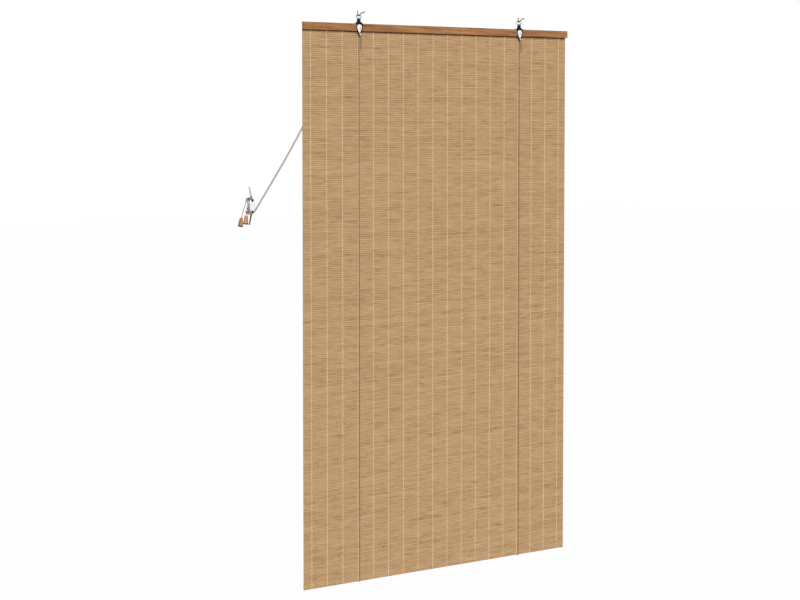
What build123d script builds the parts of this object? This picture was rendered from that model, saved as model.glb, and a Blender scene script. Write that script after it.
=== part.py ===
from build123d import *
import math
import os

# A bamboo roll-up blind, in millimetres. X runs along the rail, Y towards the wall, Z up.
# The origin is midway between the seats of the two hooks.

# Head rail
RAIL_LENGTH = 1000.0
RAIL_HEIGHT = 21.0
RAIL_THICKNESS = 8.0
RAIL_EASING = 2.0

# Reed mat: one ridge a reed, with a gap at every third groove
MAT_INSET = 2.0
MAT_THICKNESS = 3.0
MAT_TUCK = 1.0
REED_PITCH = 5.4
REED_COUNT = 296
GROOVE_WIDTH = 1.6
GROOVE_DEPTH = 0.8
GAP_HEIGHT = 0.7
GAP_MARGIN = 12.0
REEDS_A_GAP = 3

# Warp threads
THREAD_COUNT = 18
THREAD_WIDTH = 3.0
THREAD_THICKNESS = 0.6
THREAD_INSET = 2.0

# Staples and bottom batten
STAPLE_SPAN = 10.0
STAPLE_WIRE = 1.0
STAPLE_BITE = 5.0
BAYS_A_STAPLE = 2
BATTEN_INSET = 3.0
BATTEN_HEIGHT = 20.0
BATTEN_THICKNESS = 4.0
BATTEN_EASING = 1.0

# Hanger strap, a bent strip over the rail
HANGER_THREAD = 4
STRAP_WIDTH = 22.4
STRAP_THICKNESS = 1.2
STRAP_BEND = 1.0
PEAR_DROP = 10.7
TAB_RADIUS = 4.5
TAB_HOLE_RADIUS = 1.5
TAB_DROP = 30.5

# Pear-shaped cover and its screw
COVER_RADIUS = 8.7
COVER_LOW_RADIUS = 3.4
COVER_LOW_DROP = 23.0
COVER_SHIFT = -1.6
COVER_DEPTH = 1.5
COVER_SHEET = 0.6
COVER_ROUND = 0.8
RIM_WIDTH = 0.6
RIM_PROUD = 1.2
SCREW_RADIUS = 1.5
SCREW_HEAD_RADIUS = 2.9
SCREW_HEAD_HEIGHT = 1.8
SCREW_HEAD_ROUND = 0.9
SCREW_SLOT = 0.8
SCREW_BITE = 6.0
SCREW_DROP = 13.0

# Swivel bush, eye and hook
BUSH_RADIUS = 5.4
BUSH_HEIGHT = 11.5
BUSH_FOOT_RADIUS = 10.4
BUSH_FOOT_HEIGHT = 4.2
BUSH_ROUND = 1.0
EYE_WIRE = 3.0
EYE_BEND = 5.0
EYE_STRAIGHT = 5.0
STEM_RADIUS = 1.6
STEM_HEAD_RADIUS = 2.6
STEM_HEAD_HEIGHT = 2.0
HOOK_WIRE = 3.0
HOOK_BOWL = 7.5
HOOK_NECK = 6.0
HOOK_CORNER_Z = 7.5
HOOK_RISE_ANGLE = 35.0
HOOK_TILT_ANGLE = 10.0
HOOK_ARM = 22.0
HOOK_POINT = 5.0
HOOK_POINT_RADIUS = 0.3
HOOK_SWEEP_ANGLE = 175.0
HOOK_TURN_ANGLE = 25.0

# Pulleys behind the rail
AXLE_DROP = 10.5
AXLE_RADIUS = 2.0
COLLAR_RADIUS = 4.0
COLLAR_LENGTH = 2.0
AXLE_HEAD_RADIUS = 3.2
AXLE_HEAD_HEIGHT = 1.2
SHEAVE_RADIUS = 10.0
SHEAVE_WIDTH = 5.0
SHEAVE_RIM = 0.5
GROOVE_RADIUS = 7.0
GROOVE_FLAT = 2.6
GUARD_RADIUS = 10.0
GUARD_THICKNESS = 1.0

# Cords and knots
CORD_RADIUS = 1.0
CORD_EDGE_RADIUS = 2.4
KNOT_RADIUS = 2.8
KNOT_FLAT = 1.8

# Wall cleat
WALL_Y = 26.0
CLEAT_OUT = 172.0
CLEAT_Z = -532.0
POST_SPACING = 31.0
POST_RADIUS = 4.8
FOOT_RADIUS = 5.8
FOOT_HEIGHT = 2.0
PLATE_FRONT = 0.0
PLATE_BACK = 6.0
PLATE_HALF_WIDTH = 10.5
PLATE_HALF_HEIGHT = 21.5
PLATE_ROUND = 3.2
HORN_Y = 3.4
HORN_REACH = 55.0
HORN_RADIUS = 3.0
HORN_TIP_RADIUS = 1.9
HORN_DROOP = 12.0
CLEAT_SCREW_RADIUS = 2.0
CLEAT_SHANK_RADIUS = 2.4
CLEAT_HEAD_RADIUS = 3.5
CLEAT_HEAD_HEIGHT = 2.2
CLEAT_HEAD_SINK = 0.8
CLEAT_SCREW_BITE = 9.0
CLEAT_POINT = 3.0
CLEAT_POINT_RADIUS = 0.4

# Tassels
TASSEL_LENGTH = 25.0
TASSEL_TOP_RADIUS = 4.2
TASSEL_RADIUS = 7.2
TASSEL_WAIST_RADIUS = 5.9
TASSEL_ROUND = 1.4
TASSEL_BORE_RADIUS = 1.5
TASSEL_WELL_RADIUS = 3.6
TASSEL_WELL_DEPTH = 10.0

# Clearances
RUNNING = 0.05
SEAT = 0.2
APART = 0.3
OVERRUN = 1.0

# Places that follow from the sizes above
MAT_WIDTH = RAIL_LENGTH - 2 * MAT_INSET
BATTEN_LENGTH = MAT_WIDTH - 2 * BATTEN_INSET
CLEAT_X = -RAIL_LENGTH / 2 - CLEAT_OUT
RAIL_TOP = -(2 * EYE_BEND + APART + BUSH_HEIGHT + STRAP_THICKNESS)
RAIL_BOTTOM = RAIL_TOP - RAIL_HEIGHT
RAIL_FRONT = -RAIL_THICKNESS / 2
MAT_FRONT = RAIL_THICKNESS / 2
MAT_BACK = MAT_FRONT + MAT_THICKNESS
MAT_TOP = RAIL_TOP - MAT_TUCK
MAT_BOTTOM = MAT_TOP - REED_PITCH * REED_COUNT
THREAD_PITCH = MAT_WIDTH / THREAD_COUNT
HANGER_X = (THREAD_COUNT / 2 - HANGER_THREAD + 1 / 2) * THREAD_PITCH
STRAP_FRONT = RAIL_FRONT - STRAP_THICKNESS
STRAP_BACK = MAT_BACK + STRAP_THICKNESS
STRAP_TOP = RAIL_TOP + STRAP_THICKNESS
COVER_FRONT = STRAP_FRONT - COVER_DEPTH
AXLE_Z = RAIL_TOP - AXLE_DROP
FRONT_SHEAVE_Y = STRAP_BACK + COLLAR_LENGTH + APART + SHEAVE_WIDTH / 2
REAR_SHEAVE_Y = FRONT_SHEAVE_Y + SHEAVE_WIDTH + APART
TAB_Z = RAIL_TOP - TAB_DROP
SCREW_Z = RAIL_TOP - SCREW_DROP
BATTEN_TOP = MAT_BOTTOM + BATTEN_HEIGHT

# Runs of the lift cords
CORD_LOW = MAT_BOTTOM - CORD_RADIUS - APART
CORD_FRONT = MAT_FRONT - THREAD_THICKNESS - CORD_RADIUS - SEAT
CORD_BACK = MAT_BACK + BATTEN_THICKNESS + CORD_RADIUS + APART
CORD_PITCH_RADIUS = GROOVE_RADIUS + CORD_RADIUS + APART
CORD_DRIFT = 3.0
CORD_BEND_Y = -1.6
KNOT_Y = STRAP_FRONT - SEAT - KNOT_FLAT

# Leads over the sheaves, in X and Z from the axle: over the left hanger's, and between the two hangers
LEFT_LEAD = [(8.3, 6.304), (-3.845, 9.689), (-10.156, -0.752)]
CROSS_START = (-12.33, 8.3)
CROSS_LEAD = [(-4.685, 8.3), (-10.156, -0.752)]

# Pull cords: a slack run, then, in X and Z from the cleat's middle, round its posts and down to the tassels
PULL_SAG = 24.0
LEFT_WRAP = [
    (18.0, -16.0), (4.5, -25.0), (-9.3, -19.0), (7.78, 16.23), (3.02, 22.7), (-4.93, 21.56),
    (-23.8, -26.8), (-26.8, -47.8),
]
RIGHT_WRAP = [
    (18.0, -16.0), (4.5, -25.0), (-9.3, -19.0), (7.95, 16.59), (2.12, 23.24), (-6.28, 20.49), (-13.2, -41.6),
]


def block(x0, x1, y0, y1, z0, z1):
    """A box between two corners."""
    return Pos((x0 + x1) / 2, (y0 + y1) / 2, (z0 + z1) / 2) * Box(x1 - x0, y1 - y0, z1 - z0)


def rod_y(x, z, y0, y1, radius):
    """A cylinder along Y."""
    return Pos(x, (y0 + y1) / 2, z) * Rot(90, 0, 0) * Cylinder(radius, y1 - y0)


def rod_z(x, y, z0, z1, radius):
    """A cylinder along Z."""
    return Pos(x, y, (z0 + z1) / 2) * Cylinder(radius, z1 - z0)


def front_plate(outline, y_front, y_back):
    """An outline in X and Z, made solid between two depths."""
    face = Plane((0, y_back, 0), x_dir=(1, 0, 0), z_dir=(0, -1, 0)) * outline
    return extrude(face, y_back - y_front)


def pear(top_z, top_radius, low_z, low_radius):
    """A pear outline: two discs and the straight flanks between them."""
    circles = Sketch() + [Pos(0, top_z) * Circle(top_radius), Pos(0, low_z) * Circle(low_radius)]
    return make_hull(circles.edges())


def wire_along(path, radius):
    """A round wire along a path of tangent edges."""
    section = Plane(origin=path @ 0, z_dir=path % 0) * Circle(radius)
    return sweep(section, path=path)


def cord_along(name, points, radii):
    """A cord along straight runs joined by arcs. It prints the arcs' radii and how true the volume is."""
    path = FilletPolyline(*points, radius=radii)
    cord = wire_along(path, CORD_RADIUS)
    wanted = path.length * math.pi * CORD_RADIUS**2
    rounded = [round(radius, 2) for radius in radii]
    print(name, "radii", rounded, "volume ratio", round(cord.volume / wanted, 4))
    return cord


def corner_radii(points):
    """The radius at each corner: 0.45 of the shorter run over the tangent of half the turn."""
    run_share = 0.45
    radii = []
    for before, here, after in zip(points, points[1:], points[2:]):
        first = Vector(*here) - Vector(*before)
        second = Vector(*after) - Vector(*here)
        half_turn = math.radians(first.get_angle(second) / 2)
        radii.append(run_share * min(first.length, second.length) / math.tan(half_turn))
    return radii


def at_depth(points, y):
    """Route points given in X and Z, at one depth."""
    return [(x, y, z) for x, z in points]


def moved(offsets, x, z):
    """Route points from their offsets to a place."""
    return [(x + dx, z + dz) for dx, dz in offsets]


def pull_route(wrap):
    """A pull cord's points in X and Z: from the left sheave, halfway at its sag, and round the cleat."""
    start = moved(LEFT_LEAD[-1:], -HANGER_X, AXLE_Z)
    rest = moved(wrap, CLEAT_X, CLEAT_Z)
    half = ((start[0][0] + rest[0][0]) / 2, (start[0][1] + rest[0][1]) / 2 - PULL_SAG)
    return start + [half] + rest


def headrail():
    """The wooden rail, with pilot holes for the cover screws and pockets for the swivel heads."""
    rail = block(-RAIL_LENGTH / 2, RAIL_LENGTH / 2, RAIL_FRONT, MAT_FRONT, RAIL_BOTTOM, RAIL_TOP)
    rail = fillet(rail.faces().sort_by(Axis.Y)[0].edges().filter_by(Axis.X), RAIL_EASING)
    for x in (-HANGER_X, HANGER_X):
        rail -= rod_y(x, SCREW_Z, RAIL_FRONT - OVERRUN, RAIL_FRONT + SCREW_BITE, SCREW_RADIUS + RUNNING)
        pocket_bottom = RAIL_TOP - STEM_HEAD_HEIGHT - 2 * APART
        rail -= rod_z(x, 0, pocket_bottom, RAIL_TOP + OVERRUN, STEM_HEAD_RADIUS + APART)
    return rail


def mat_profile():
    """The mat's section in Y and Z: a flat-topped ridge a reed on each side, with grooves between."""
    front = []
    back = []
    for reed in range(REED_COUNT):
        top = MAT_TOP - reed * REED_PITCH
        low = top - REED_PITCH
        front += [(MAT_FRONT + GROOVE_DEPTH, top), (MAT_FRONT, top - GROOVE_WIDTH / 2)]
        front += [(MAT_FRONT, low + GROOVE_WIDTH / 2)]
        back += [(MAT_BACK - GROOVE_DEPTH, top), (MAT_BACK, top - GROOVE_WIDTH / 2)]
        back += [(MAT_BACK, low + GROOVE_WIDTH / 2)]
    front.append((MAT_FRONT + GROOVE_DEPTH, MAT_BOTTOM))
    back.append((MAT_BACK - GROOVE_DEPTH, MAT_BOTTOM))
    return front + back[::-1]


def bamboo_mat():
    """The reed mat as one wall of ridges, with long gaps between groups of reeds."""
    section = make_face(Plane.YZ * Polyline(*mat_profile(), close=True))
    mat = extrude(section, MAT_WIDTH / 2, both=True)
    half = MAT_WIDTH / 2 - GAP_MARGIN
    gaps = []
    for reed in range(REEDS_A_GAP, REED_COUNT, REEDS_A_GAP):
        z = MAT_TOP - reed * REED_PITCH
        low, high = z - GAP_HEIGHT / 2, z + GAP_HEIGHT / 2
        gaps.append(block(-half, half, MAT_FRONT - OVERRUN, MAT_BACK + OVERRUN, low, high))
    return mat - gaps


def warp_threads():
    """The thread rows: strips on the front below the rail, and on the back between straps and batten."""
    low = MAT_BOTTOM + THREAD_INSET
    back_top = AXLE_Z - STRAP_WIDTH / 2 - THREAD_INSET
    strips = []
    for row in range(THREAD_COUNT):
        x = (row - (THREAD_COUNT - 1) / 2) * THREAD_PITCH
        x0, x1 = x - THREAD_WIDTH / 2, x + THREAD_WIDTH / 2
        strips.append(block(x0, x1, MAT_FRONT - THREAD_THICKNESS, MAT_FRONT, low, RAIL_BOTTOM - APART))
        strips.append(block(x0, x1, MAT_BACK, MAT_BACK + THREAD_THICKNESS, BATTEN_TOP + APART, back_top))
    return Compound(children=strips)


def headrail_staples():
    """Wire staples through the mat into the back of the rail, one at every second bay between the threads."""
    z0, z1 = AXLE_Z - STAPLE_WIRE / 2, AXLE_Z + STAPLE_WIRE / 2
    staples = []
    for bay in range(0, THREAD_COUNT - 1, BAYS_A_STAPLE):
        x = (bay - (THREAD_COUNT - 2) / 2) * THREAD_PITCH
        x0, x1 = x - STAPLE_SPAN / 2, x + STAPLE_SPAN / 2
        crown = block(x0, x1, MAT_BACK, MAT_BACK + STAPLE_WIRE, z0, z1)
        left = block(x0, x0 + STAPLE_WIRE, MAT_FRONT - STAPLE_BITE, MAT_BACK, z0, z1)
        right = block(x1 - STAPLE_WIRE, x1, MAT_FRONT - STAPLE_BITE, MAT_BACK, z0, z1)
        staples.append(crown + left + right)
    return Compound(children=staples)


def bottom_batten():
    """The strip glued behind the mat's lower edge."""
    half = BATTEN_LENGTH / 2
    batten = block(-half, half, MAT_BACK, MAT_BACK + BATTEN_THICKNESS, MAT_BOTTOM + GROOVE_WIDTH, BATTEN_TOP)
    return fillet(batten.faces().sort_by(Axis.Y)[-1].edges().filter_by(Axis.X), BATTEN_EASING)


def strap(x):
    """The bent strip over the rail: front leg with a pear-shaped rim and a holed tab, bridge and rear leg."""
    half = STRAP_WIDTH / 2
    pear_z = RAIL_TOP - PEAR_DROP
    front = front_plate(pear(pear_z, half, TAB_Z, TAB_RADIUS), STRAP_FRONT, RAIL_FRONT)
    front += block(-half, half, STRAP_FRONT, RAIL_FRONT, pear_z, STRAP_TOP)
    bridge = block(-half, half, STRAP_FRONT, STRAP_BACK, RAIL_TOP, STRAP_TOP)
    rear = rod_y(0, AXLE_Z, MAT_BACK, STRAP_BACK, half)
    rear += block(-half, half, MAT_BACK, STRAP_BACK, AXLE_Z, STRAP_TOP)
    whole = front + bridge + rear
    low_z = RAIL_TOP - COVER_LOW_DROP
    rim_radius, rim_low_radius = COVER_RADIUS + SEAT, COVER_LOW_RADIUS + SEAT
    rim = pear(pear_z, rim_radius + RIM_WIDTH, low_z, rim_low_radius + RIM_WIDTH)
    rim -= pear(pear_z, rim_radius, low_z, rim_low_radius)
    whole += Pos(COVER_SHIFT, 0, 0) * front_plate(rim, STRAP_FRONT - RIM_PROUD, STRAP_FRONT)
    top_edges = whole.faces().sort_by(Axis.Z)[-1].edges().filter_by(Axis.X)
    whole = fillet(top_edges, STRAP_BEND)
    whole -= rod_z(0, 0, RAIL_TOP - OVERRUN, STRAP_TOP + OVERRUN, STEM_RADIUS + RUNNING)
    whole -= rod_y(0, TAB_Z, STRAP_FRONT - OVERRUN, RAIL_FRONT + OVERRUN, TAB_HOLE_RADIUS)
    whole -= rod_y(0, SCREW_Z, STRAP_FRONT - OVERRUN, RAIL_FRONT + OVERRUN, SCREW_RADIUS + RUNNING)
    whole -= rod_y(0, AXLE_Z, MAT_BACK - OVERRUN, STRAP_BACK + OVERRUN, AXLE_RADIUS + RUNNING)
    return Pos(x, 0, 0) * whole


def cover(x):
    """The pressed pear-shaped cover, a hollow shell with a rounded front."""
    pear_z = RAIL_TOP - PEAR_DROP
    low_z = RAIL_TOP - COVER_LOW_DROP
    shell = front_plate(pear(pear_z, COVER_RADIUS, low_z, COVER_LOW_RADIUS), COVER_FRONT, STRAP_FRONT)
    shell = fillet(shell.faces().sort_by(Axis.Y)[0].edges(), COVER_ROUND)
    inner = pear(pear_z, COVER_RADIUS - COVER_SHEET, low_z, COVER_LOW_RADIUS - COVER_SHEET)
    hollow = front_plate(inner, COVER_FRONT + COVER_SHEET, STRAP_FRONT + OVERRUN)
    hollow = fillet(hollow.faces().sort_by(Axis.Y)[0].edges(), COVER_ROUND - COVER_SHEET)
    shell = Pos(COVER_SHIFT, 0, 0) * (shell - hollow)
    shell -= rod_y(0, SCREW_Z, COVER_FRONT - OVERRUN, STRAP_FRONT, SCREW_RADIUS + RUNNING)
    return Pos(x, 0, 0) * shell


def cover_screw(x):
    """The slotted screw that holds the cover and the strap on the rail."""
    head_front = COVER_FRONT - SCREW_HEAD_HEIGHT
    head = rod_y(0, SCREW_Z, head_front, COVER_FRONT, SCREW_HEAD_RADIUS)
    head = fillet(head.edges().sort_by(Axis.Y)[0], SCREW_HEAD_ROUND)
    slot_bottom = head_front + SCREW_SLOT
    half_slot = SCREW_SLOT / 2
    head -= block(
        -SCREW_HEAD_RADIUS, SCREW_HEAD_RADIUS, head_front - OVERRUN, slot_bottom,
        SCREW_Z - half_slot, SCREW_Z + half_slot,
    )
    shank = rod_y(0, SCREW_Z, COVER_FRONT, RAIL_FRONT + SCREW_BITE - APART, SCREW_RADIUS)
    return Pos(x, 0, 0) * (head + shank)


def bush(x):
    """The black swivel bush on the strap's bridge, with sloping shoulders."""
    body = rod_z(0, 0, STRAP_TOP, STRAP_TOP + BUSH_HEIGHT, BUSH_RADIUS)
    body = fillet(body.edges().sort_by(Axis.Z)[-1], BUSH_ROUND)
    foot = Pos(0, 0, STRAP_TOP + BUSH_FOOT_HEIGHT / 2) * Cone(BUSH_FOOT_RADIUS, BUSH_RADIUS, BUSH_FOOT_HEIGHT)
    front, back = STRAP_FRONT + STRAP_BEND, STRAP_BACK - STRAP_BEND
    foot &= block(-BUSH_FOOT_RADIUS, BUSH_FOOT_RADIUS, front, back, STRAP_TOP, STRAP_TOP + BUSH_HEIGHT)
    body += foot
    body -= rod_z(0, 0, STRAP_TOP - OVERRUN, STRAP_TOP + BUSH_HEIGHT + OVERRUN, STEM_RADIUS + RUNNING)
    return Pos(x, 0, 0) * body


def eye(x):
    """The swivel eye: a long ring of round wire on a headed stem, square to the hook's arm."""
    ring_top = EYE_WIRE / 2
    ring_low = ring_top - 2 * EYE_BEND
    half = EYE_STRAIGHT / 2
    middle = ring_top - EYE_BEND
    top = Line((0, -half, ring_top), (0, half, ring_top))
    right = ThreePointArc((0, half, ring_top), (0, half + EYE_BEND, middle), (0, half, ring_low))
    low = Line((0, half, ring_low), (0, -half, ring_low))
    left = ThreePointArc((0, -half, ring_low), (0, -half - EYE_BEND, middle), (0, -half, ring_top))
    ring = wire_along(Wire([top, right, low, left]), EYE_WIRE / 2)
    head_top = RAIL_TOP - APART
    stem = rod_z(0, 0, head_top - STEM_HEAD_HEIGHT, ring_low, STEM_RADIUS)
    stem += rod_z(0, 0, head_top - STEM_HEAD_HEIGHT, head_top, STEM_HEAD_RADIUS)
    return Pos(x, 0, 0) * Rot(0, 0, HOOK_TURN_ANGLE) * (ring + stem)


def hook(x):
    """The screw hook: an open bowl under the eye's top that rises to a pointed arm."""
    radius = HOOK_WIRE / 2
    bowl_z = HOOK_BOWL - radius - SEAT
    rise = math.radians(HOOK_RISE_ANGLE)
    tilt = math.radians(HOOK_TILT_ANGLE)
    low = Vector(HOOK_BOWL * math.sin(rise), bowl_z - HOOK_BOWL * math.cos(rise))
    corner = Vector(low.X + (HOOK_CORNER_Z - low.Y) / math.tan(rise), HOOK_CORNER_Z)
    along = Vector(math.cos(tilt), math.sin(tilt))
    bend_run = HOOK_NECK * math.tan((rise - tilt) / 2)
    arm = Line(corner + along * HOOK_ARM, corner + along * bend_run)
    neck = JernArc(arm @ 1, arm % 1, HOOK_NECK, HOOK_RISE_ANGLE - HOOK_TILT_ANGLE)
    slope = Line(neck @ 1, low)
    bowl = JernArc(slope @ 1, slope % 1, HOOK_BOWL, -HOOK_SWEEP_ANGLE)
    path = Plane.XZ * Wire([arm, neck, slope, bowl])
    body = wire_along(path, radius)
    body += Pos(path @ 1) * Sphere(radius)
    point = Pos(0, 0, HOOK_POINT / 2) * Cone(radius, HOOK_POINT_RADIUS, HOOK_POINT)
    body += Plane(origin=path @ 0, z_dir=-(path % 0)) * point
    return Pos(x, 0, 0) * Rot(0, 0, HOOK_TURN_ANGLE) * body


def axle(x, last_sheave_y):
    """The shoulder rivet that carries the sheaves and the guard."""
    guard_back = last_sheave_y + SHEAVE_WIDTH / 2 + APART + GUARD_THICKNESS
    pin = rod_y(0, AXLE_Z, MAT_BACK, guard_back + AXLE_HEAD_HEIGHT, AXLE_RADIUS)
    pin += rod_y(0, AXLE_Z, STRAP_BACK, STRAP_BACK + COLLAR_LENGTH, COLLAR_RADIUS)
    pin += rod_y(0, AXLE_Z, guard_back, guard_back + AXLE_HEAD_HEIGHT, AXLE_HEAD_RADIUS)
    return Pos(x, 0, 0) * pin


def guard(x, last_sheave_y):
    """The disc behind the last sheave."""
    front = last_sheave_y + SHEAVE_WIDTH / 2 + APART
    disc = rod_y(0, AXLE_Z, front, front + GUARD_THICKNESS, GUARD_RADIUS)
    disc -= rod_y(0, AXLE_Z, front - OVERRUN, front + GUARD_THICKNESS + OVERRUN, AXLE_RADIUS + RUNNING)
    return Pos(x, 0, 0) * disc


def sheave(x, y):
    """A grooved wheel that turns about Y."""
    half = SHEAVE_WIDTH / 2
    bore = AXLE_RADIUS + RUNNING
    lip = half - SHEAVE_RIM
    outline = [
        (bore, -half), (SHEAVE_RADIUS, -half), (SHEAVE_RADIUS, -lip), (GROOVE_RADIUS, -GROOVE_FLAT / 2),
        (GROOVE_RADIUS, GROOVE_FLAT / 2), (SHEAVE_RADIUS, lip), (SHEAVE_RADIUS, half), (bore, half),
    ]
    section = make_face(Polyline(*outline, close=True))
    return Pos(x, y, AXLE_Z) * revolve(section, Axis.Y)


def lift_cord(name, x, lead, lead_radii):
    """A lift cord: from its knot through the tab, down the front, under the mat and up to its sheave."""
    bottom_x = x + CORD_DRIFT
    points = [
        (x, STRAP_FRONT - SEAT, TAB_Z), (x, CORD_BEND_Y, TAB_Z),
        (bottom_x, CORD_FRONT, CORD_LOW), (bottom_x, CORD_BACK, CORD_LOW),
    ]
    tab_radius = 2 * CORD_RADIUS
    radii = [tab_radius, CORD_EDGE_RADIUS, CORD_EDGE_RADIUS]
    return cord_along(name, points + lead, radii + lead_radii)


def knot(centre, towards_cord):
    """A stopper knot: a ball with a flat where the cord goes in."""
    ball = Sphere(KNOT_RADIUS) - Pos(0, 0, KNOT_FLAT + KNOT_RADIUS) * Box(*[2 * KNOT_RADIUS] * 3)
    return Plane(origin=centre, z_dir=towards_cord) * ball


def pull_end(route, y):
    """Where a pull cord ends in its tassel, and the direction back up the tail."""
    end = Vector(route[-1][0], y, route[-1][1])
    up = (Vector(route[-2][0], y, route[-2][1]) - end).normalized()
    return end, up


def tassel(route, y):
    """A turned wooden bell on the tail of a pull cord, with a well for the knot."""
    end, up = pull_end(route, y)
    top = TASSEL_WELL_DEPTH
    well_top = end + up * (KNOT_RADIUS - KNOT_FLAT)
    body_top = TASSEL_LENGTH - top
    flare = ThreePointArc(
        (TASSEL_TOP_RADIUS, body_top - TASSEL_ROUND), (TASSEL_WAIST_RADIUS, (body_top - top) / 2),
        (TASSEL_RADIUS, TASSEL_ROUND - top),
    )
    lip_low = (TASSEL_RADIUS - TASSEL_ROUND, -top)
    lip = RadiusArc((TASSEL_RADIUS, TASSEL_ROUND - top), lip_low, TASSEL_ROUND)
    crown_top = (TASSEL_TOP_RADIUS - TASSEL_ROUND, body_top)
    crown = RadiusArc(crown_top, (TASSEL_TOP_RADIUS, body_top - TASSEL_ROUND), TASSEL_ROUND)
    inside = Polyline(
        lip_low, (TASSEL_WELL_RADIUS, -top), (TASSEL_WELL_RADIUS, 0),
        (TASSEL_BORE_RADIUS, 0), (TASSEL_BORE_RADIUS, body_top), crown_top,
    )
    section = Plane.XZ * make_face([crown, flare, lip, inside])
    return Plane(origin=well_top, z_dir=up) * revolve(section, Axis.Z)


def cord_cleat():
    """The cast cleat: an oval face on two posts with feet, and two thin horns that lean back to the wall."""
    half = POST_SPACING / 2
    oval = Pos(CLEAT_X, CLEAT_Z) * Ellipse(PLATE_HALF_WIDTH, PLATE_HALF_HEIGHT)
    body = front_plate(oval, PLATE_FRONT, PLATE_BACK)
    body = fillet(body.faces().sort_by(Axis.Y)[0].edges(), PLATE_ROUND)
    horn_length = HORN_REACH - HORN_TIP_RADIUS - half
    lean = math.degrees(math.asin(HORN_DROOP / horn_length))
    horn_top = horn_length + HORN_TIP_RADIUS
    flank = Polyline((0, horn_top), (0, 0), (HORN_RADIUS, 0), (HORN_TIP_RADIUS, horn_length))
    tip = RadiusArc((HORN_TIP_RADIUS, horn_length), (0, horn_top), -HORN_TIP_RADIUS)
    horn = revolve(Plane.XZ * make_face([flank, tip]), Axis.Z)
    for side in (-1, 1):
        post_z = CLEAT_Z + side * half
        turn = Rot(-lean, 0, 0) if side > 0 else Rot(180 + lean, 0, 0)
        body += Pos(CLEAT_X, HORN_Y, post_z) * turn * horn
        body += rod_y(CLEAT_X, post_z, HORN_Y, WALL_Y, POST_RADIUS)
        body += rod_y(CLEAT_X, post_z, WALL_Y - FOOT_HEIGHT, WALL_Y, FOOT_RADIUS)
    for side in (-1, 1):
        post_z = CLEAT_Z + side * half
        seat = PLATE_FRONT + CLEAT_HEAD_SINK + CLEAT_HEAD_HEIGHT
        body -= rod_y(CLEAT_X, post_z, PLATE_FRONT - OVERRUN, WALL_Y + OVERRUN, CLEAT_SHANK_RADIUS + RUNNING)
        body -= rod_y(CLEAT_X, post_z, PLATE_FRONT - OVERRUN, seat, CLEAT_HEAD_RADIUS + SEAT)
    return body


def cleat_screws():
    """The two screws through the cleat's posts into the wall."""
    front = PLATE_FRONT + CLEAT_HEAD_SINK
    screws = []
    for side in (-1, 1):
        z = CLEAT_Z + side * POST_SPACING / 2
        head = rod_y(CLEAT_X, z, front, front + CLEAT_HEAD_HEIGHT, CLEAT_HEAD_RADIUS)
        half_slot = SCREW_SLOT / 2
        head -= block(
            CLEAT_X - CLEAT_HEAD_RADIUS, CLEAT_X + CLEAT_HEAD_RADIUS, front - OVERRUN, front + SCREW_SLOT,
            z - half_slot, z + half_slot,
        )
        end = WALL_Y + CLEAT_SCREW_BITE
        shank = rod_y(CLEAT_X, z, front + CLEAT_HEAD_HEIGHT, WALL_Y, CLEAT_SHANK_RADIUS)
        shank += rod_y(CLEAT_X, z, WALL_Y, end - CLEAT_POINT, CLEAT_SCREW_RADIUS)
        point = Rot(-90, 0, 0) * Cone(CLEAT_SCREW_RADIUS, CLEAT_POINT_RADIUS, CLEAT_POINT)
        screws.append(head + shank + Pos(CLEAT_X, end - CLEAT_POINT / 2, z) * point)
    return Compound(children=screws)


def hanger(side, x, last_sheave_y):
    """The pieces that both hangers have."""
    return {
        f"{side}_strap": strap(x),
        f"{side}_cover": cover(x),
        f"{side}_cover_screw": cover_screw(x),
        f"{side}_bush": bush(x),
        f"{side}_eye": eye(x),
        f"{side}_hook": hook(x),
        f"{side}_axle": axle(x, last_sheave_y),
        f"{side}_guard": guard(x, last_sheave_y),
        f"{side}_lift_knot": knot((x, KNOT_Y, TAB_Z), (0, 1, 0)),
    }


def pull(side, route, y):
    """A pull cord with its tassel and the knot inside it."""
    end, up = pull_end(route, y)
    points = at_depth(route, y)
    return {
        f"{side}_pull_cord": cord_along(f"{side}_pull_cord", points, corner_radii(points)),
        f"{side}_tassel": tassel(route, y),
        f"{side}_tassel_knot": knot(end - up * KNOT_FLAT, up),
    }


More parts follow.
